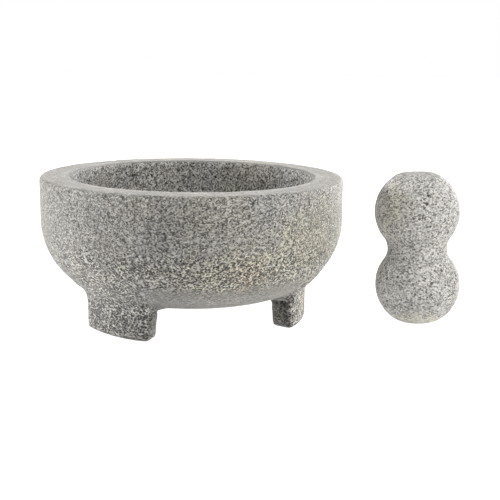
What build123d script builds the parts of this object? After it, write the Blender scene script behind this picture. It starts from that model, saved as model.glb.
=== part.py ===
from build123d import *
import os
from math import cos, radians, sin, sqrt

# Molcajete: a stone mortar on three short legs, carved from one block, and its pestle.
# Millimetres, +Z up. The origin is on the mortar's axis, on the surface that it stands on.
# The pestle stands beside the mortar, towards +X.

# Mortar, outside
outer_diameter = 203.2
mortar_height = 96.7
rim_width = 20.4
underside_height = 18.3
outer_corner_radius = 50.2
outer_rim_round = 2.0
inner_rim_round = 1.5

# Mortar, inside: straight sides, a wide curve, then a shallow dish
well_depth = 61.0
well_side_radius = 42.0
well_side_turn = 75.0

# Legs: each is a slice of a ring, under the bowl
leg_count = 3
first_leg_angle = 108.0
leg_outer_radius = 77.8
leg_thickness = 15.5
leg_half_angle = 21.3
leg_height = 30.7
leg_edge_round = 3.5
leg_root_radius = 8.0
foot_edge_round = 2.5

# The root edges are picked out above the flat underside by more than this
pick_margin = 0.5

# Pestle: two balls joined by a waist, with both ends cut flat. Heights are along its own axis.
pestle_x = 154.3
pestle_y = -18.5
pestle_lean = 3.0
lower_ball_radius = 28.4
lower_ball_height = 25.3
upper_ball_radius = 28.2
ball_spacing = 50.2
waist_round_radius = 13.0
upper_flat_radius = 11.0
end_edge_round = 14.0

os.makedirs("parts", exist_ok=True)


# Mortar: bowl and legs are one piece of stone
outer_radius = outer_diameter / 2
well_radius = outer_radius - rim_width
leg_inner_radius = leg_outer_radius - leg_thickness

# The dish is centred on the axis and carries on the direction of the side curve
dish_slope = 90 - well_side_turn
dish_edge_radius = well_radius - well_side_radius * (1 - sin(radians(dish_slope)))
dish_radius = dish_edge_radius / sin(radians(dish_slope))
dish_depth = dish_radius * (1 - cos(radians(dish_slope)))
side_curve_depth = well_side_radius * cos(radians(dish_slope))
side_curve_top = mortar_height - well_depth + dish_depth + side_curve_depth

with BuildPart() as mortar:
    # Solid bowl: a drum with a wide curve round its lower edge
    with BuildSketch(Plane.XY.offset(underside_height)):
        Circle(outer_radius)
    extrude(amount=mortar_height - underside_height)
    fillet(mortar.edges().group_by(Axis.Z)[0], radius=outer_corner_radius)

    # Legs, from the ground up into the bowl
    for leg in range(leg_count):
        leg_angle = first_leg_angle + leg * 360 / leg_count
        with BuildSketch(Plane.XY.rotated((0, 0, leg_angle))) as leg_outline:
            with BuildLine():
                outer_arc = CenterArc((0, 0), leg_outer_radius, -leg_half_angle, 2 * leg_half_angle)
                inner_arc = CenterArc((0, 0), leg_inner_radius, -leg_half_angle, 2 * leg_half_angle)
                Line(outer_arc @ 0, inner_arc @ 0)
                Line(outer_arc @ 1, inner_arc @ 1)
            make_face()
            fillet(leg_outline.vertices(), radius=leg_edge_round)
        extrude(amount=leg_height)

    # A hollow curve where each leg runs into the bowl, and a rounded edge round each foot
    root_low = underside_height + pick_margin
    leg_roots = mortar.edges().filter_by(
        lambda edge: root_low < edge.bounding_box().min.Z and edge.bounding_box().max.Z < leg_height
    )
    fillet(leg_roots, radius=leg_root_radius)
    fillet(mortar.edges().group_by(Axis.Z)[0], radius=foot_edge_round)

    # Well
    with BuildSketch(Plane.XZ):
        with BuildLine():
            well_side = Line((well_radius, mortar_height), (well_radius, side_curve_top))
            side_curve = JernArc(well_side @ 1, well_side % 1, well_side_radius, -well_side_turn)
            dish = JernArc(side_curve @ 1, side_curve % 1, dish_radius, -dish_slope)
            Polyline(dish @ 1, (0, mortar_height), well_side @ 0)
        make_face()
    revolve(axis=Axis.Z, mode=Mode.SUBTRACT)

    # The rim is flat, with its outer and inner edges eased
    rim_edges = mortar.edges().group_by(Axis.Z)[-1].sort_by(SortBy.LENGTH)
    fillet(rim_edges[-1], radius=outer_rim_round)
    fillet(rim_edges[0], radius=inner_rim_round)

mortar.part.label = "mortar"
export_step(mortar.part, "parts/mortar.step")


# Pestle: turned about its own axis, which leans towards the mortar because its lower end is
# not cut square to it
lean_x = cos(radians(pestle_lean))
lean_z = sin(radians(pestle_lean))
pestle_section = Plane(origin=(pestle_x, pestle_y, 0), x_dir=(lean_x, 0, lean_z), z_dir=(0, -1, 0))
pestle_axis = Axis(pestle_section.origin, pestle_section.y_dir)

upper_ball_height = lower_ball_height + ball_spacing
pestle_length = upper_ball_height + sqrt(upper_ball_radius**2 - upper_flat_radius**2)

with BuildPart() as pestle:
    with BuildSketch(pestle_section) as pestle_outline:
        with Locations((0, lower_ball_height)):
            Circle(lower_ball_radius)
        with Locations((0, upper_ball_height)):
            Circle(upper_ball_radius)
        # The waist is a hollow curve where the two balls cross
        crossings = pestle_outline.vertices().sort_by(lambda vertex: abs(vertex.X))[:2]
        fillet(crossings, radius=waist_round_radius)
        # Half of the outline, below the flat upper end
        with Locations((0, pestle_length)):
            Rectangle(pestle_length, 2 * pestle_length, align=(Align.MIN, Align.MAX), mode=Mode.INTERSECT)
    revolve(axis=pestle_axis)

    # The lower end is cut level, so that the pestle stands on it
    split(bisect_by=Plane.XY, keep=Keep.TOP)
    end_edges = pestle.edges().sort_by(Axis.Z)
    fillet((end_edges[0], end_edges[-1]), radius=end_edge_round)

pestle.part.label = "pestle"
export_step(pestle.part, "parts/pestle.step")
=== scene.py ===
import math

import bmesh
import bpy
import numpy as np
from mathutils import Matrix, Vector, noise
from mathutils.bvhtree import BVHTree


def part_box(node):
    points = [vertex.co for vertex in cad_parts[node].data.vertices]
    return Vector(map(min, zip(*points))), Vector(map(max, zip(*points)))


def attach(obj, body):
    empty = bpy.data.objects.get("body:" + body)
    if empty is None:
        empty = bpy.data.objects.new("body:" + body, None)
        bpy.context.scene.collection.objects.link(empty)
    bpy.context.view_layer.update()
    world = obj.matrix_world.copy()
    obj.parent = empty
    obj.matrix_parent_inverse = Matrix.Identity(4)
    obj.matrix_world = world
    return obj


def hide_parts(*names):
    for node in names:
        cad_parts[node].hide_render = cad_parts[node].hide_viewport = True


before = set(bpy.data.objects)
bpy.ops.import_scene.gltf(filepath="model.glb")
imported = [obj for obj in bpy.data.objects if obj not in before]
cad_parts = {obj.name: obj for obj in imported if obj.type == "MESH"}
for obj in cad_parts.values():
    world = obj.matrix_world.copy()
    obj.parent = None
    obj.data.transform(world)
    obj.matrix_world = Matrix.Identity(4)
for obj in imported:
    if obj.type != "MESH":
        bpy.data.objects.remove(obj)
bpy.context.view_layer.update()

MM = 0.001

# ---------------------------------------------------------------- places, from the frame
LEVEL_WITH = 0.5 * MM
TOUCHING = 0.1 * MM
LEAST_GAP = 20

mortar_low, mortar_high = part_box("mortar")
pestle_low, pestle_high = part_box("pestle")
OUTER_RADIUS = (mortar_high.x - mortar_low.x) / 2
RIM_TOP = mortar_high.z


def mortar_points():
    """Every point of the mortar's CAD mesh."""
    return [v.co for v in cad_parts["mortar"].data.vertices]


def well_edge(height):
    """Radius of the well at a height."""
    return min(math.hypot(p.x, p.y) for p in mortar_points() if abs(p.z - height) < LEVEL_WITH)


def lowest(within):
    """Height of the mortar's lowest point inside a radius round its axis."""
    return min(p.z for p in mortar_points() if math.hypot(p.x, p.y) < within)


def foot_places():
    """Angle of each leg, half the angle a leg spans, and the feet's mean radius."""
    points = np.array([(p.x, p.y) for p in mortar_points() if p.z < TOUCHING])
    angles = np.sort(np.degrees(np.arctan2(points[:, 1], points[:, 0])))
    gaps = np.diff(np.append(angles, angles[0] + 360))
    starts = [angles[(i + 1) % len(angles)] for i in np.where(gaps > LEAST_GAP)[0]]
    widths = (360 - gaps[gaps > LEAST_GAP].sum()) / len(starts)
    radius = np.hypot(points[:, 0], points[:, 1])
    return [start + widths / 2 for start in starts], widths / 2, (radius.min() + radius.max()) / 2


WELL_RADIUS = well_edge(RIM_TOP)
# near the axis only the well has points; further out the underside's edge is the lowest
WELL_FLOOR = lowest(0.3 * OUTER_RADIUS)
UNDERSIDE = lowest(0.52 * OUTER_RADIUS)
LEG_ANGLES, LEG_HALF_ANGLE, LEG_MIDDLE = foot_places()

# ---------------------------------------------------------------- camera
CAMERA_BACK = 0.6536
CAMERA_HEIGHT = 0.1805
PITCH = math.radians(11.73)
YAW = math.radians(3.46)
ROLL = math.radians(0.88)
SENSOR_WIDTH = 36
LENS = 69.8


def camera_turn():
    """Looking ahead, turned down by the pitch, round by the yaw, and tipped by the roll."""
    forward = Vector(
        (math.sin(YAW) * math.cos(PITCH), math.cos(YAW) * math.cos(PITCH), -math.sin(PITCH))
    )
    level = Vector((math.cos(YAW), -math.sin(YAW), 0))
    up = level.cross(forward)
    right = math.cos(ROLL) * level + math.sin(ROLL) * up
    above = math.cos(ROLL) * up - math.sin(ROLL) * level
    return Matrix((right, above, -forward)).transposed().to_4x4()


def add_camera():
    """A camera in front of the object and above its rim."""
    data = bpy.data.cameras.new("camera")
    data.sensor_width = SENSOR_WIDTH
    data.lens = LENS
    data.dof.use_dof = False
    camera = bpy.data.objects.new("camera", data)
    camera.matrix_world = Matrix.Translation((0, -CAMERA_BACK, CAMERA_HEIGHT)) @ camera_turn()
    bpy.context.scene.collection.objects.link(camera)
    bpy.context.scene.camera = camera


add_camera()

# ---------------------------------------------------------------- node helpers
MIX_FACTOR, MIX_FIRST, MIX_SECOND = 0, 6, 7
MIX_RESULT = 2


def grey(value):
    """The same value on all three channels."""
    return (value,) * 3


class Tree:
    """Adds nodes to a node tree and links them, one short call each."""

    def __init__(self, tree):
        self.tree = tree

    def add(self, kind, settings=None, **inputs):
        node = self.tree.nodes.new(kind)
        for key, value in (settings or {}).items():
            setattr(node, key, value)
        for key, value in inputs.items():
            self.plug(node, key.replace("_", " "), value)
        return node

    def plug(self, node, key, value):
        socket = node.inputs[int(key)] if key.isdigit() else node.inputs[key]
        if isinstance(value, bpy.types.NodeSocket):
            self.tree.links.new(value, socket)
        else:
            socket.default_value = value

    def math(self, operation, *values, clamp=False):
        node = self.add("ShaderNodeMath", {"operation": operation, "use_clamp": clamp})
        for index, value in enumerate(values):
            self.plug(node, str(index), value)
        return node.outputs[0]

    def vector(self, operation, *values):
        node = self.add("ShaderNodeVectorMath", {"operation": operation})
        for index, value in enumerate(values):
            self.plug(node, str(index), value)
        return node.outputs["Value" if operation == "LENGTH" else 0]

    def noise(self, vector, scale, detail, roughness):
        node = self.add("ShaderNodeTexNoise", Vector=vector, Scale=scale, Detail=detail, Roughness=roughness)
        return node.outputs["Fac"]

    def cells(self, vector, scale):
        return self.add("ShaderNodeTexVoronoi", Vector=vector, Scale=scale)

    def channel(self, colour, index):
        return self.add("ShaderNodeSeparateColor", Color=colour).outputs[index]

    def ramp(self, factor, *stops, smooth=True):
        node = self.add("ShaderNodeValToRGB")
        node.color_ramp.interpolation = "EASE" if smooth else "CONSTANT"
        elements = node.color_ramp.elements
        while len(elements) < len(stops):
            elements.new(stops[-1][0])
        for element, (place, colour) in zip(elements, stops):
            element.position = place
            element.color = (*colour, 1)
        self.plug(node, "0", factor)
        return node.outputs["Color"]

    def mix(self, factor, first, second, blend="MIX"):
        node = self.add("ShaderNodeMix", {"data_type": "RGBA", "blend_type": blend})
        self.plug(node, str(MIX_FACTOR), factor)
        for index, value in ((MIX_FIRST, first), (MIX_SECOND, second)):
            if not isinstance(value, bpy.types.NodeSocket):
                value = (*value, 1)
            self.plug(node, str(index), value)
        return node.outputs[MIX_RESULT]

    def times(self, factor, colour, tint):
        """The colour multiplied by a tint, as far as the factor says."""
        return self.mix(factor, colour, tint, "MULTIPLY")

    def surface(self, shader, kind="ShaderNodeOutputMaterial"):
        """Links a shader to a new output node."""
        self.plug(self.add(kind), "Surface", shader.outputs[0])


def new_material(name):
    material = bpy.data.materials.new(name)
    material.use_nodes = True
    material.node_tree.nodes.clear()
    return material, Tree(material.node_tree)


# ---------------------------------------------------------------- granite
# masks that the meshes carry, each 0 where it has no effect
# the darkening mask holds painted shade and a few darker patches; the lightening one holds painted light, a
# painted highlight and the pestle foot's wear
MASKS = ("polish", "inside", "coarse", "cream", "rose", "worn", "stain")

# cells to a metre
GRAINS = 1080.0
SPECKS = 660.0
CRYSTALS = 400.0

# each noise: waves to a metre, detail, and roughness
PATCH_NOISE = (1 / 0.060, 2.5, 0.55)
CROWD_NOISE = (120.0, 3.0, 0.6)
ROW_NOISE = (170.0, 2.0, 0.5)
RING_NOISE = (420.0, 4.0, 0.72)
CLOUD_NOISE = (30.0, 3.0, 0.5)
LEVEL_NOISE = (330.0, 3.0, 0.62)
UPRIGHT_NOISE = (300.0, 3.0, 0.62)

# how the grain is bent, and how it and its marks are stretched along x, y and z
WOBBLES = 1100.0
WOBBLE = 0.8 * MM
FLATTENED = (1.0, 1.0, 1.25)
UPRIGHT = (1.05, 1.05, 0.90)
ROW_STRETCH = (1.0, 1.0, 5.0)
LEVEL_STRETCH = (1.0, 1.0, 3.2)
UPRIGHT_STRETCH = (2.6, 2.6, 0.9)
RING_DRIFT = grey(0.10)
IN_PLAN = (1.0, 1.0, 0.0)
SEED_SHIFT = (1, 0.7, 0.3)

# dark mica, grey quartz and pale feldspar, by share of the grains
MINERALS = (
    (0.00, (0.022, 0.020, 0.018)),
    (0.14, (0.171, 0.167, 0.156)),
    (0.36, (0.347, 0.343, 0.324)),
    (0.62, (0.503, 0.495, 0.467)),
    (0.84, (0.672, 0.655, 0.613)),
)
MEAN_STONE = (0.360, 0.352, 0.332)
SPECK = (0.040, 0.038, 0.034)
CRYSTAL = (0.025, 0.024, 0.021)
STONE_DUST = (0.415, 0.405, 0.383)

# tints, and how much of each is used
CREAM = (1.14, 1.10, 0.87)
CREAM_SHARE = 0.65
LOOSE_CREAM = (0.42, 0.66)
ROSE = (1.16, 0.98, 0.88)
ROSE_SHARE = 0.60
# grey that darkens with painted shade, and in a few darker patches
SHADE_AND_DARK_PATCH_TINT = (0.42, 0.42, 0.41)
COARSE_GAIN = grey(1.15)
ROW_GAIN = grey(1.14)
# painted light that brightens the well
WELL_PAINTED_LIGHT = grey(1.08)
# brightens with painted light and a painted highlight, and where the pestle's foot is worn
WEAR_AND_PAINTED_LIGHT_GAIN = grey(1.22)
NO_TINT = grey(1.0)
COARSE_FULLNESS = 0.25

# dark specks and crystals
MEAN_NOISE = 0.50
COARSE_CROWDING = 0.13
ROW_LEVEL = 0.47
ROW_CROWDING = 2.6
CLUSTER_CROWDING = 0.10
COARSE_REACH = -0.10
SPECK_EDGE = ((0.34, grey(1.0)), (0.56, grey(0.0)))
SPECK_DEPTH = 0.66
COARSE_DEPTH = 0.30
COARSE_CRYSTALS = 0.04
CRYSTAL_EDGE = ((0.30, grey(1.0)), (0.50, grey(0.0)))
CRYSTAL_DEPTH = 0.8

# ground faces
POLISH_COVER = 0.72
DUST_COVER = 0.66
RING_TONES = ((0.32, grey(0.76)), (0.66, grey(1.15)))
CLOUD_TONES = ((0.3, grey(0.90)), (0.7, grey(1.06)))

# relief
MARK_HEIGHT = 1.6
PIT_HEIGHT = -1.1
GRAIN_HEIGHT = 0.35
LEAST_RELIEF = 0.8
COARSE_RELIEF = 0.8
BUMP_STRENGTH = 0.75
BUMP_DISTANCE = 0.55 * MM

# surface
LEAST_ROUGHNESS = 0.68
GRAIN_ROUGHNESS = 0.16
SPECULAR = 0.15
SHEEN_ROUGHNESS = 0.5
SHEEN_TINT = (1.0, 0.97, 0.91, 1)


def wobbled(t, at):
    """Coordinates bent a little, so that no crystal is a plain cell."""
    wobble = t.add("ShaderNodeTexNoise", Vector=at, Scale=WOBBLES, Detail=2.0)
    return t.vector("MULTIPLY_ADD", wobble.outputs["Color"], grey(WOBBLE), at)


def in_rows(t, coarse):
    """1 where the stone is coarse enough for its specks to lie in rows."""
    return t.math("SUBTRACT", coarse, 1.0, clamp=True)


def minerals(t, grain, coarse, contrast):
    """Pale and dark grains, with fuller colours where the stone is coarse."""
    full = t.ramp(grain, *MINERALS, smooth=False)
    fullness = t.math("MULTIPLY_ADD", coarse, COARSE_FULLNESS, contrast, clamp=True)
    colour = t.mix(fullness, MEAN_STONE, full)
    colour = t.times(1.0, colour, t.mix(coarse, NO_TINT, COARSE_GAIN))
    return t.times(in_rows(t, coarse), colour, ROW_GAIN)


def weathered(t, colour, at, masks, weathering):
    """Cream patches, and rose ones where iron has stained the stone."""
    first, full = LOOSE_CREAM
    loose_cream = t.ramp(t.noise(at, *PATCH_NOISE), (first, grey(0.0)), (full, grey(weathering)))
    cream = t.math("ADD", masks["cream"], loose_cream, clamp=True)
    colour = t.times(t.math("MULTIPLY", cream, CREAM_SHARE), colour, CREAM)
    return t.times(t.math("MULTIPLY", masks["rose"], ROSE_SHARE), colour, ROSE)


def speck_crowding(t, at, coarse, dark_share):
    """How likely a dark speck is: specks crowd in places and, where coarse, in level rows."""
    crowding = t.math("MULTIPLY_ADD", t.noise(at, *CROWD_NOISE), 1.0, dark_share - MEAN_NOISE)
    crowding = t.math("MULTIPLY_ADD", t.math("MINIMUM", coarse, 1.0), COARSE_CROWDING, crowding)
    row = t.noise(t.vector("MULTIPLY", at, ROW_STRETCH), *ROW_NOISE)
    row = t.math("SUBTRACT", row, ROW_LEVEL)
    row_share = t.math("MULTIPLY", in_rows(t, coarse), ROW_CROWDING)
    crowding = t.math("MULTIPLY_ADD", row, row_share, crowding)
    clustered = t.math("SUBTRACT", coarse, 2.0, clamp=True)
    return t.math("MULTIPLY_ADD", clustered, CLUSTER_CROWDING, crowding)


def dark_specks(t, at, grain_at, coarse, dark_share):
    """1 inside the dark specks, 0 between them."""
    speck = t.cells(grain_at, SPECKS)
    picked = t.math(
        "GREATER_THAN", speck_crowding(t, at, coarse, dark_share), t.channel(speck.outputs["Color"], 1)
    )
    shrink = t.math("MULTIPLY_ADD", coarse, COARSE_REACH, 1.0)
    core = t.ramp(t.math("MULTIPLY", speck.outputs["Distance"], shrink), *SPECK_EDGE)
    return t.math("MULTIPLY", picked, core, clamp=True)


def speckled(t, colour, specks, rough, coarse):
    """The colour with its dark specks, fainter where the stone is ground."""
    depth = t.math("MULTIPLY_ADD", coarse, COARSE_DEPTH, SPECK_DEPTH, clamp=True)
    return t.mix(t.math("MULTIPLY", specks, t.math("MULTIPLY", rough, depth)), colour, SPECK)


def with_crystals(t, colour, bent, rough, coarse, spots):
    """The colour with a few larger dark crystals."""
    crystal = t.cells(bent, CRYSTALS)
    core = t.ramp(crystal.outputs["Distance"], *CRYSTAL_EDGE)
    share = t.math("MULTIPLY_ADD", coarse, COARSE_CRYSTALS, spots)
    picked = t.math("LESS_THAN", t.channel(crystal.outputs["Color"], 2), share)
    crystals = t.math("MULTIPLY", picked, core)
    crystals = t.math("MULTIPLY", crystals, t.math("MULTIPLY", rough, CRYSTAL_DEPTH))
    return t.mix(crystals, colour, CRYSTAL)


def ground(t, colour, place, polish):
    """Ground faces are more even, with stone dust in the grain and faint rings round the axis."""
    dusty = t.mix(t.math("MULTIPLY", polish, DUST_COVER), colour, STONE_DUST)
    radial = t.vector("LENGTH", t.vector("MULTIPLY", place, IN_PLAN))
    along = t.add("ShaderNodeSeparateXYZ", Vector=t.vector("MULTIPLY", place, RING_DRIFT))
    rings_at = t.add("ShaderNodeCombineXYZ", X=radial, Y=along.outputs[0], Z=along.outputs[1])
    rings = t.ramp(t.noise(rings_at.outputs[0], *RING_NOISE), *RING_TONES)
    return t.mix(polish, dusty, t.times(1.0, dusty, rings))


def toned(t, colour, at, masks, pale):
    """Slow changes of tone, painted shade and darker patches, painted light in the well, painted light and a
    painted highlight with some real wear, and the stone's own tone.
    """
    clouds = t.ramp(t.noise(at, *CLOUD_NOISE), *CLOUD_TONES)
    colour = t.times(1.0, colour, clouds)
    # painted shade, and a few darker patches
    colour = t.times(masks["stain"], colour, SHADE_AND_DARK_PATCH_TINT)
    # painted light in the well
    colour = t.times(masks["inside"], colour, WELL_PAINTED_LIGHT)
    # painted light and a painted highlight, and the pestle foot's wear
    colour = t.times(masks["worn"], colour, WEAR_AND_PAINTED_LIGHT_GAIN)
    return t.times(1.0, colour, grey(pale))


def relief(t, at, masks, specks, grain, rough):
    """Chisel marks run level outside and upright in the well, over pits and grain."""
    level_marks = t.noise(t.vector("MULTIPLY", at, LEVEL_STRETCH), *LEVEL_NOISE)
    upright_marks = t.noise(t.vector("MULTIPLY", at, UPRIGHT_STRETCH), *UPRIGHT_NOISE)
    marks = t.mix(masks["inside"], level_marks, upright_marks)
    pits = t.math("MULTIPLY", specks, PIT_HEIGHT)
    height = t.math("ADD", t.math("MULTIPLY", marks, MARK_HEIGHT), pits)
    height = t.math("MULTIPLY_ADD", grain, GRAIN_HEIGHT, height)
    depth = t.math("MULTIPLY_ADD", masks["coarse"], COARSE_RELIEF, LEAST_RELIEF)
    height = t.math("MULTIPLY", height, t.math("MULTIPLY", rough, depth))
    bump = t.add("ShaderNodeBump", Strength=BUMP_STRENGTH, Distance=BUMP_DISTANCE, Height=height)
    return bump.outputs[0]


def stone_shader(t, colour, normal, grain, outer, dust):
    """Matt stone, with a glow of stone dust on its rough outer faces."""
    shader = t.add("ShaderNodeBsdfPrincipled")
    shader.inputs["Specular IOR Level"].default_value = SPECULAR
    shader.inputs["Sheen Roughness"].default_value = SHEEN_ROUGHNESS
    shader.inputs["Sheen Tint"].default_value = SHEEN_TINT
    t.plug(shader, "Sheen Weight", t.math("MULTIPLY", outer, dust))
    t.plug(shader, "Base Color", colour)
    t.plug(shader, "Roughness", t.math("MULTIPLY_ADD", grain, GRAIN_ROUGHNESS, LEAST_ROUGHNESS))
    t.plug(shader, "Normal", normal)
    t.surface(shader)


def granite(name, pale, weathering, dark_share, contrast, spots, dust, seed):
    """Salt-and-pepper granite, which follows the masks that the mesh carries."""
    material, t = new_material(name)
    masks = {mask: t.add("ShaderNodeAttribute", {"attribute_name": mask}).outputs["Fac"] for mask in MASKS}
    coarse = masks["coarse"]
    place = t.add("ShaderNodeTexCoord").outputs["Object"]
    at = t.vector("ADD", place, [seed * share for share in SEED_SHIFT])
    bent = wobbled(t, at)
    grain_at = t.vector("MULTIPLY", bent, t.mix(masks["inside"], FLATTENED, UPRIGHT))
    grain = t.channel(t.cells(grain_at, GRAINS).outputs["Color"], 0)
    rough = t.math("SUBTRACT", 1.0, t.math("MULTIPLY", masks["polish"], POLISH_COVER), clamp=True)
    specks = dark_specks(t, at, grain_at, coarse, dark_share)

    colour = minerals(t, grain, coarse, contrast)
    colour = weathered(t, colour, at, masks, weathering)
    colour = speckled(t, colour, specks, rough, coarse)
    colour = with_crystals(t, colour, bent, rough, coarse, spots)
    colour = ground(t, colour, place, masks["polish"])
    colour = toned(t, colour, at, masks, pale)
    normal = relief(t, at, masks, specks, grain, rough)
    outer = t.math("SUBTRACT", rough, masks["inside"], clamp=True)
    stone_shader(t, colour, normal, grain, outer, dust)
    return material


# ---------------------------------------------------------------- mesh helpers
WELD = 0.005 * MM
SMOOTH_PASSES = 3
SMOOTH_FACTOR = 0.5
FIELD_ROUGHNESS = 0.9
FIELD_LACUNARITY = 2.0
RAGGED = {"size": 9 * MM, "seed": 31.0}
RAGGED_SHARE = 0.35
PATCH_FADE = (0.1, 1.1)
SEED_STEPS = (1, 1.7, 0.6)


def welded_copy(node):
    """The CAD node's mesh as a closed bmesh, with its split corners joined."""
    shape = bmesh.new()
    shape.from_mesh(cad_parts[node].data)
    bmesh.ops.remove_doubles(shape, verts=shape.verts, dist=WELD)
    return shape


def voxel_mesh(shape, name, voxel):
    """An even mesh of small quads round a bmesh."""
    source = bpy.data.meshes.new(name + "_source")
    shape.to_mesh(source)
    holder = bpy.data.objects.new(name + "_source", source)
    bpy.context.scene.collection.objects.link(holder)
    remesh = holder.modifiers.new("remesh", "REMESH")
    remesh.mode = "VOXEL"
    remesh.voxel_size = voxel
    evaluated = holder.evaluated_get(bpy.context.evaluated_depsgraph_get())
    mesh = bpy.data.meshes.new_from_object(evaluated)
    bpy.data.objects.remove(holder)
    bpy.data.meshes.remove(source)
    return mesh


def smooth(mesh):
    """Evens out the small steps that the remesh leaves."""
    even = bmesh.new()
    even.from_mesh(mesh)
    for _ in range(SMOOTH_PASSES):
        bmesh.ops.smooth_vert(
            even, verts=even.verts, factor=SMOOTH_FACTOR, use_axis_x=True, use_axis_y=True, use_axis_z=True
        )
    even.to_mesh(mesh)
    even.free()


def remeshed(node, name, voxel):
    """An even mesh of small quads over a CAD node, pulled back onto its true surface."""
    shape = welded_copy(node)
    true_surface = BVHTree.FromBMesh(shape)
    mesh = voxel_mesh(shape, name, voxel)
    shape.free()
    for vertex in mesh.vertices:
        vertex.co = true_surface.find_nearest(vertex.co)[0]
    smooth(mesh)
    mesh.name = name
    mesh.update()
    piece = bpy.data.objects.new(name, mesh)
    bpy.context.scene.collection.objects.link(piece)
    return piece


def ramp(value, low, high):
    """0 below low, 1 above high, smooth between."""
    part = np.clip((value - low) / (high - low), 0, 1)
    return part * part * (3 - 2 * part)


def fade(value, low, high):
    """1 below low, 0 above high, smooth between."""
    return ramp(-value, -high, -low)


def arrays(mesh):
    """The places and normals of a mesh's points."""
    count = len(mesh.vertices)
    places = np.empty(count * 3)
    normals = np.empty(count * 3)
    mesh.vertices.foreach_get("co", places)
    mesh.vertices.foreach_get("normal", normals)
    return places.reshape(-1, 3), normals.reshape(-1, 3)


def set_masks(mesh, **masks):
    """Stores each mask on the mesh's points, for the granite to read."""
    for name, values in masks.items():
        attribute = mesh.attributes.new(name, "FLOAT", "POINT")
        attribute.data.foreach_set("value", np.asarray(values, np.float32))


def field(places, size, stretch=(1, 1, 1), seed=0.0, octaves=3):
    """Smooth noise, about -1 to 1, with features of a size in metres."""
    factors = np.array(stretch) / size
    shift = np.array([seed * step for step in SEED_STEPS])
    points = places * factors + shift
    return np.array([noise.fractal(Vector(p), FIELD_ROUGHNESS, FIELD_LACUNARITY, octaves) for p in points])


def carve(piece, depth):
    """Moves each point along its normal by depth, never below the floor, and shades smooth."""
    mesh = piece.data
    places, normals = arrays(mesh)
    moved = places + normals * np.asarray(depth)[:, None]
    moved[:, 2] = np.maximum(moved[:, 2], 0)
    mesh.vertices.foreach_set("co", moved.ravel())
    mesh.shade_smooth()
    mesh.update()


def near(places, centre, reach):
    """1 at a place, fading to 0 at its reach along each axis, all in mm, with a ragged edge."""
    away = np.sqrt((((places - np.array(centre) * MM) / (np.array(reach) * MM)) ** 2).sum(axis=1))
    return fade(away - RAGGED_SHARE * field(places, **RAGGED), *PATCH_FADE)


# ---------------------------------------------------------------- mortar
MORTAR_VOXEL = 1.32 * MM

# patches on the mortar: centre and reach along x, y and z, in mm
LOW_FRONT = ((26, -90, 49), (66, 30, 20))
# on the right side: cream, and painted light
RIGHT_SIDE = ((68, -64, 64), (42, 50, 40))
# painted light on the far wall of the well
FAR_WELL_LIGHT = ((0, 88, 84), (66, 34, 44))
# painted shade on the front of the wall
SHADED_FRONT = ((-16, -98, 72), (68, 40, 42))
# painted shade on the right of the rim
SHADED_RIM = ((92, -20, 97), (40, 90, 12))
LEFT_FOOT_SPECKS = ((-42, -64, 12), (20, 16, 12))
LEFT_WALL_SPECKS = ((-66, -66, 40), (9, 9, 7))
# darker near the bottom of the left foot
LEFT_FOOT_DARK_PATCH = ((-34, -70, 5), (18, 14, 11))
ROSE_FRONT = ((33, -86, 50), (17, 20, 16))
ROSE_LEG = ((78, -20, 16), (13, 18, 15))

# how strong each mask is at its fullest, or where it is least
RIM_POLISH = 0.64
BELLY_POLISH = 0.38
# painted shade on the ends and inner faces of the legs
LEG_BACK_SHADE = 1.08
# painted shade on the belly, darker towards the underside
BELLY_SHADE = 0.46
LOW_BELLY_SHADE = 0.85
# painted shade on the front of the wall
FRONT_SHADE = 0.36
# painted shade on the right of the rim
RIM_SHADE = 0.16
# darker near the bottom of the left foot
LEFT_FOOT_DARKENING = 0.35
# painted shade along the bottom edges of the feet
FOOT_EDGE_SHADE = 0.9
SIDE_CREAM = 0.9
# painted light on the right side
RIGHT_SIDE_LIGHT = 0.3
CHIPPED_RIM = 0.35
LEG_ROUGHNESS = 0.95
LIP_SHARE = 0.7
LIP_CHANGE = 0.5

# the relief: heights and depths, and the noise that each part follows
CORNER_CUT = 2.0 * MM
LEG_WIDENING = 0.9 * MM
ROOT_FILL = 1.0 * MM
WAVE_HEIGHT = 0.22 * MM
ROW_HEIGHT = 0.12 * MM
STRIPE_HEIGHT = 0.12 * MM
PIT_DEPTH = 0.35 * MM
PIT_EDGE = (0.42, 0.75)
BELLY_SMOOTHNESS = 0.62
SMOOTH_WAVES = 0.35
WAVES = {"size": 26 * MM, "seed": 3.1}
ROWS = {"size": 5.5 * MM, "stretch": (1, 1, 2.8), "seed": 7.7}
STRIPES = {"size": 5.0 * MM, "stretch": (2.4, 2.4, 0.8), "seed": 9.2}
PITS = {"size": 4.2 * MM, "seed": 12.4, "octaves": 2}

# ragged edges of the masks: how far they wander, and the noise that they follow
LINE_WANDER = 2.5 * MM
LINE_NOISE = {"size": 12 * MM, "stretch": (1, 1, 0.5), "seed": 17.0}
CHIP_WANDER = 2.2 * MM
CHIP_NOISE = {"size": 4 * MM, "seed": 41.0, "octaves": 2}
LIP_GAPS = {"size": 7 * MM, "seed": 51.0}

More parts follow.
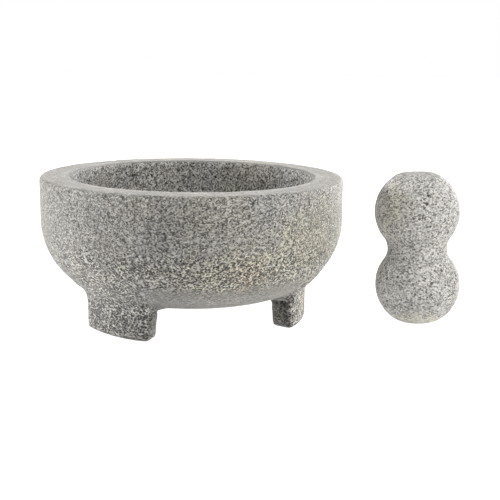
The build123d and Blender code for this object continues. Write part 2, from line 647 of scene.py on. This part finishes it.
# where each mask or part of the relief starts and ends, each measured as its function says
RIM_DEPTH = (0.4 * MM, 1.2 * MM)
CHIPPED_EDGE = (1.5 * MM, 5.5 * MM)
WELL_FADE = 0.6 * MM
WELL_BOTTOM = (30 * MM, 34 * MM)
BELLY_LINE = (36 * MM, 41 * MM)
LOW_BELLY = (2 * MM, 10 * MM)
COARSE_LINE = (52 * MM, 66 * MM)
LEG_TOP = (-2 * MM, 6 * MM)
LEG_START = 7 * MM
BACK_FADE = 4 * MM
FOOT_EDGE = (1.0 * MM, 3.4 * MM)
LIP_CENTRE = 1.5 * MM
LIP_WIDTH = (2.5 * MM, 6.0 * MM)
LIP_DEPTH = (0.8 * MM, 2.0 * MM)
LEG_RADIUS = (48 * MM, 54 * MM)
ROOT_TOP = (26 * MM, 30 * MM)
CORNER_START = (8 * MM, 11 * MM)
WIDENING_START = 2 * MM
WIDENING_SPAN = 14 * MM
FILL_START = (17 * MM, 25 * MM)
FILL_END = (29 * MM, 38 * MM)

# how far round from a leg's ends, in degrees
LEG_SPAN = (0, 8)
ROOT_SPAN = (9, 14)
FILL_SPAN = (-2, 5)

# which way a face turns, by its normal's share upwards or outwards
FLAT_FACE = (0.75, 0.95)
UPRIGHT_FACE = (0.4, 0.8)
BACK_FACE = (0.35, 0.75)
SIDE_FACE = (0.10, 0.40)
FRONT_FACE = (0.3, 0.6)
CORNER_SIDE = (0.25, 0.75)
CORNER_CEILING = (0.82, 1.0)


def off_leg(places):
    """Degrees round from the middle of the nearest leg."""
    angle = np.degrees(np.arctan2(places[:, 1], places[:, 0]))
    return np.min([np.abs((angle - leg + 180) % 360 - 180) for leg in LEG_ANGLES], axis=0)


def by_leg(places, close, wide):
    """1 up to an angle past a leg's ends, fading to 0 at a wider one, both in degrees."""
    return fade(off_leg(places), LEG_HALF_ANGLE + close, LEG_HALF_ANGLE + wide)


def facing_out(places, normals):
    """1 where the surface faces away from the mortar's axis, -1 where it faces the axis."""
    return (places[:, :2] * normals[:, :2]).sum(axis=1) / np.hypot(places[:, 0], places[:, 1])


def leg_backs(places, normals):
    """1 on the ends and inner faces of the legs, 0 on their outer faces and elsewhere."""
    upright = fade(np.abs(normals[:, 2]), *UPRIGHT_FACE)
    below_well = fade(places[:, 2], WELL_FLOOR - BACK_FADE, WELL_FLOOR)
    return fade(facing_out(places, normals), *BACK_FACE) * upright * below_well


def leg_corners(height, sideways):
    """How far the ends and the back of a leg move out: a slight widening, less a squared corner."""
    downward = np.sqrt(1 - sideways**2)
    corner = ramp(downward, *CORNER_SIDE) * fade(downward, *CORNER_CEILING) * ramp(height, *CORNER_START)
    wider = sideways * ((height - WIDENING_START) / WIDENING_SPAN).clip(0, 1)
    return LEG_WIDENING * wider - CORNER_CUT * corner


def leg_fronts(places, outward):
    """How much fuller the hollow is where the front of a leg runs into the bowl."""
    height = places[:, 2]
    hollow = ramp(height, *FILL_START) * fade(height, *FILL_END)
    return ROOT_FILL * ramp(outward, *FRONT_FACE) * hollow * by_leg(places, *FILL_SPAN)


def leg_roots(places, normals):
    """How far the surface moves out where the legs meet the bowl: the ends and the back of a leg
    meet it in a tight, squared corner and widen a little upwards, and its front in a fuller hollow."""
    height = places[:, 2]
    radius = np.hypot(places[:, 0], places[:, 1])
    outward = facing_out(places, normals)
    along = (places[:, 0] * normals[:, 1] - places[:, 1] * normals[:, 0]) / radius
    sideways = np.hypot(along, np.minimum(outward, 0)).clip(0, 1) * fade(outward, *SIDE_FACE)
    leg = by_leg(places, *ROOT_SPAN) * ramp(radius, *LEG_RADIUS)
    return leg * (fade(height, *ROOT_TOP) * leg_corners(height, sideways) + leg_fronts(places, outward))


def rim_face(places, normals, radius):
    """1 on the flat rim, fading towards its chipped outer edge."""
    flat = ramp(normals[:, 2], *FLAT_FACE) * fade(RIM_TOP - places[:, 2], *RIM_DEPTH)
    from_edge = OUTER_RADIUS - radius + CHIP_WANDER * field(places, **CHIP_NOISE)
    return flat * (CHIPPED_RIM + (1 - CHIPPED_RIM) * ramp(from_edge, *CHIPPED_EDGE))


def ground_belly(places, radius, ragged, in_well):
    """1 on the underside, ground smooth between the legs up to a ragged line on the lower curve."""
    legs = by_leg(places, *LEG_SPAN) * ramp(radius, LEG_MIDDLE - LEG_START, LEG_MIDDLE)
    return fade(ragged, *BELLY_LINE) * (1 - in_well) * (1 - LEG_ROUGHNESS * legs)


def coarseness(places, ragged):
    """1 below a ragged line on the wall, 2 on the legs, and more in two clusters of specks."""
    legs = fade(places[:, 2] - WELL_FLOOR, *LEG_TOP)
    clusters = near(places, *LEFT_FOOT_SPECKS) + near(places, *LEFT_WALL_SPECKS)
    return fade(ragged, *COARSE_LINE) + legs + clusters


def stains(places, normals, rim, belly):
    """Painted shade on the ends and inner faces of the legs, on the belly, darkest near the underside, on a
    place on the front and on the rim's right, and along the feet's bottom edges; and a darker patch near the
    left foot.
    """
    height = places[:, 2]
    # painted shade on the belly, darker towards the underside
    shaded = (BELLY_SHADE + LOW_BELLY_SHADE * fade(height - UNDERSIDE, *LOW_BELLY)) * belly
    # painted shade on the ends and inner faces of the legs
    shaded = np.maximum(LEG_BACK_SHADE * leg_backs(places, normals), shaded)
    # painted shade on the front of the wall
    front = FRONT_SHADE * near(places, *SHADED_FRONT) * (1 - rim)
    # painted shade along the feet's bottom edges, and a darker patch near the left foot
    dark_feet = LEFT_FOOT_DARKENING * near(places, *LEFT_FOOT_DARK_PATCH) + FOOT_EDGE_SHADE * fade(height, *FOOT_EDGE)
    # painted shade on the right of the rim
    return np.maximum(shaded, front) + RIM_SHADE * near(places, *SHADED_RIM) * rim + dark_feet


def worn_lip(places, radius):
    """1 along a painted highlight on the edge of the well, with gaps."""
    lip = fade(np.abs(radius - WELL_RADIUS - LIP_CENTRE), *LIP_WIDTH)
    lip = lip * fade(RIM_TOP - places[:, 2], *LIP_DEPTH)
    return lip * (LIP_SHARE + LIP_CHANGE * field(places, **LIP_GAPS)).clip(0, 1)


def mortar_relief(places, rim, belly, in_well):
    """Low waves, chisel rows outside, upright stripes in the well, and pits."""
    rough = 1 - np.maximum(rim, BELLY_SMOOTHNESS * belly)
    waves = WAVE_HEIGHT * field(places, **WAVES)
    rows = ROW_HEIGHT * field(places, **ROWS) * (1 - in_well)
    stripes = STRIPE_HEIGHT * field(places, **STRIPES) * in_well
    pits = -PIT_DEPTH * ramp(field(places, **PITS), *PIT_EDGE)
    return waves * (SMOOTH_WAVES + (1 - SMOOTH_WAVES) * rough) + (rows + stripes + pits) * rough


def make_mortar():
    """The bowl with its three legs, with its masks and its relief."""
    piece = remeshed("mortar", "mortar_stone", MORTAR_VOXEL)
    places, normals = arrays(piece.data)
    radius = np.hypot(places[:, 0], places[:, 1])
    height = places[:, 2]
    ragged = height + LINE_WANDER * field(places, **LINE_NOISE)
    rim = rim_face(places, normals, radius)
    in_well = fade(radius, WELL_RADIUS, WELL_RADIUS + WELL_FADE) * ramp(height, *WELL_BOTTOM)
    belly = ground_belly(places, radius, ragged, in_well)
    right_side = near(places, *RIGHT_SIDE)
    # painted light on the far wall of the well and on the right side
    painted_light = np.maximum(in_well * near(places, *FAR_WELL_LIGHT), RIGHT_SIDE_LIGHT * right_side)
    set_masks(
        piece.data,
        polish=np.maximum(RIM_POLISH * rim, BELLY_POLISH * belly),
        inside=in_well,
        coarse=coarseness(places, ragged) * (1 - belly) * (1 - in_well),
        # painted shade on the legs, belly, front and rim's right and along the feet, and a darker patch near
        # the left foot
        stain=stains(places, normals, rim, belly),
        cream=np.maximum(near(places, *LOW_FRONT), SIDE_CREAM * right_side) * (1 - rim),
        # painted highlight on the well's edge, and painted light in the far well and on the right side
        worn=np.maximum(worn_lip(places, radius), painted_light),
        rose=near(places, *ROSE_FRONT) + near(places, *ROSE_LEG),
    )
    carve(piece, mortar_relief(places, rim, belly, in_well) + leg_roots(places, normals))
    return piece


# ---------------------------------------------------------------- pestle
PESTLE_VOXEL = 0.9 * MM
END_POLISH = 0.35
FOOT_POLISH = 0.6
LOW_LEFT_STAIN = 0.12
# painted shade on the pestle's right side
RIGHT_PAINTED_SHADE = 0.52
TOP_CREAM = 0.45
# painted light on the pestle's left side
LEFT_PAINTED_LIGHT = 0.9
END_FACE = (0.97, 0.995)

# the relief: heights and depths, and the noise that each part follows
PESTLE_WAVE_HEIGHT = 0.25 * MM
PESTLE_PIT_DEPTH = 0.4 * MM
PESTLE_GRAIN_HEIGHT = 0.08 * MM
PESTLE_PIT_EDGE = (0.45, 0.8)
PESTLE_WAVES = {"size": 18 * MM, "seed": 21.0}
PESTLE_PITS = {"size": 3.6 * MM, "seed": 5.5, "octaves": 2}
PESTLE_GRAIN = {"size": 3.0 * MM, "seed": 2.2}


def pestle_relief(places):
    """Low waves, pits and a fine grain."""
    waves = PESTLE_WAVE_HEIGHT * field(places, **PESTLE_WAVES)
    pits = -PESTLE_PIT_DEPTH * ramp(field(places, **PESTLE_PITS), *PESTLE_PIT_EDGE)
    grain = PESTLE_GRAIN_HEIGHT * field(places, **PESTLE_GRAIN)
    return waves + pits + grain


def make_pestle():
    """The pestle, with its masks and its relief."""
    piece = remeshed("pestle", "pestle_stone", PESTLE_VOXEL)
    places, normals = arrays(piece.data)
    nothing = np.zeros(len(places))
    low, high = pestle_low / MM, pestle_high / MM
    ends = ramp(np.abs(normals[:, 2]), *END_FACE)
    foot = near(places, ((low.x + high.x) / 2, low.y + 14, 4), (26, 30, 9))
    left_of_top = near(places, (low.x + 8, low.y + 14, high.z - 24), (14, 22, 22))
    low_left = near(places, (low.x + 4, low.y + 20, 26), (8, 26, 20))
    left = near(places, (low.x + 1, low.y + 26, 50), (15, 44, 66))
    right = near(places, (high.x - 1, low.y + 28, 50), (17, 46, 70))
    set_masks(
        piece.data,
        polish=np.maximum(END_POLISH * ends, FOOT_POLISH * foot),
        inside=nothing,
        coarse=nothing,
        # painted shade on the right side, and a small darker patch low on the left
        stain=LOW_LEFT_STAIN * low_left + RIGHT_PAINTED_SHADE * right,
        cream=np.maximum(TOP_CREAM * left_of_top, foot),
        # painted light on the left side, and the foot's real wear
        worn=np.maximum(foot, LEFT_PAINTED_LIGHT * left),
        rose=nothing,
    )
    carve(piece, pestle_relief(places))
    return piece


# ---------------------------------------------------------------- both stones
mortar_granite = granite(
    "mortar_granite",
    pale=0.63,
    weathering=0.40,
    dark_share=0.50,
    contrast=0.77,
    spots=0.04,
    dust=0.38,
    seed=0.0,
)
pestle_granite = granite(
    "pestle_granite",
    pale=1.03,
    weathering=0.10,
    dark_share=0.25,
    contrast=0.58,
    spots=0.05,
    dust=0.08,
    seed=4.3,
)
PIECES = (("mortar", make_mortar, mortar_granite), ("pestle", make_pestle, pestle_granite))
for node, build, material in PIECES:
    piece = build()
    piece.data.materials.clear()
    piece.data.materials.append(material)
    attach(piece, node)
    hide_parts(node)

# ---------------------------------------------------------------- floor and light
FLOOR_HALF_SIZE = 6.0
FLOOR_GREY = 0.28
FLOOR_GLOW = 0.97
FLOOR_ROUGHNESS = 0.95
FLOOR_SPECULAR = 0.1
AMBIENT = 0.08
SIDE_GLOW = 1.15

# where each light shines from, its strength, and its width in degrees
SUNS = {
    "left_light": ((-0.97, 0.16, 0.03), 6.6, 30),
    "right_light": ((0.66, 0.75, 0.03), 8.0, 30),
    "right_front_light": ((0.88, -0.45, 0.03), 3.3, 30),
    "top_light": ((0.10, -0.52, 0.85), 2.1, 60),
}


def floor_paper():
    """White paper, bright enough to fade into the backdrop."""
    material, t = new_material("floor_paper")
    shader = t.add("ShaderNodeBsdfPrincipled", Roughness=FLOOR_ROUGHNESS)
    shader.inputs["Base Color"].default_value = (*grey(FLOOR_GREY), 1)
    shader.inputs["Specular IOR Level"].default_value = FLOOR_SPECULAR
    shader.inputs["Emission Color"].default_value = (1, 1, 1, 1)
    shader.inputs["Emission Strength"].default_value = FLOOR_GLOW
    t.surface(shader)
    return material


def add_floor():
    """A plain square floor round the object."""
    size = FLOOR_HALF_SIZE
    mesh = bpy.data.meshes.new("floor")
    corners = [(-size, -size, 0), (size, -size, 0), (size, size, 0), (-size, size, 0)]
    mesh.from_pydata(corners, [], [(0, 1, 2, 3)])
    floor = bpy.data.objects.new("floor", mesh)
    bpy.context.scene.collection.objects.link(floor)
    mesh.materials.append(floor_paper())


def add_sun(name, source, strength, spread):
    """A broad, distant light that shines from the source direction towards the object."""
    data = bpy.data.lights.new(name, "SUN")
    data.energy = strength
    data.angle = math.radians(spread)
    light = bpy.data.objects.new(name, data)
    light.rotation_euler = Vector(source).to_track_quat("Z", "Y").to_euler()
    bpy.context.scene.collection.objects.link(light)


def add_backdrop():
    """White where the camera sees it; its glow comes from the left and right sides."""
    world = bpy.data.worlds.new("studio")
    bpy.context.scene.world = world
    world.use_nodes = True
    world.node_tree.nodes.clear()
    t = Tree(world.node_tree)
    direction = t.add("ShaderNodeTexCoord").outputs["Generated"]
    across = t.add("ShaderNodeSeparateXYZ", Vector=direction).outputs["X"]
    glow = t.math("MULTIPLY_ADD", t.math("MULTIPLY", across, across), SIDE_GLOW, AMBIENT)
    seen = t.add("ShaderNodeLightPath").outputs["Is Camera Ray"]
    strength = t.math("MAXIMUM", seen, glow)
    background = t.add("ShaderNodeBackground", Color=(1, 1, 1, 1), Strength=strength)
    t.surface(background, "ShaderNodeOutputWorld")


add_floor()
for name, (source, strength, spread) in SUNS.items():
    add_sun(name, source, strength, spread)
add_backdrop()
bpy.context.scene.view_settings.view_transform = "Standard"
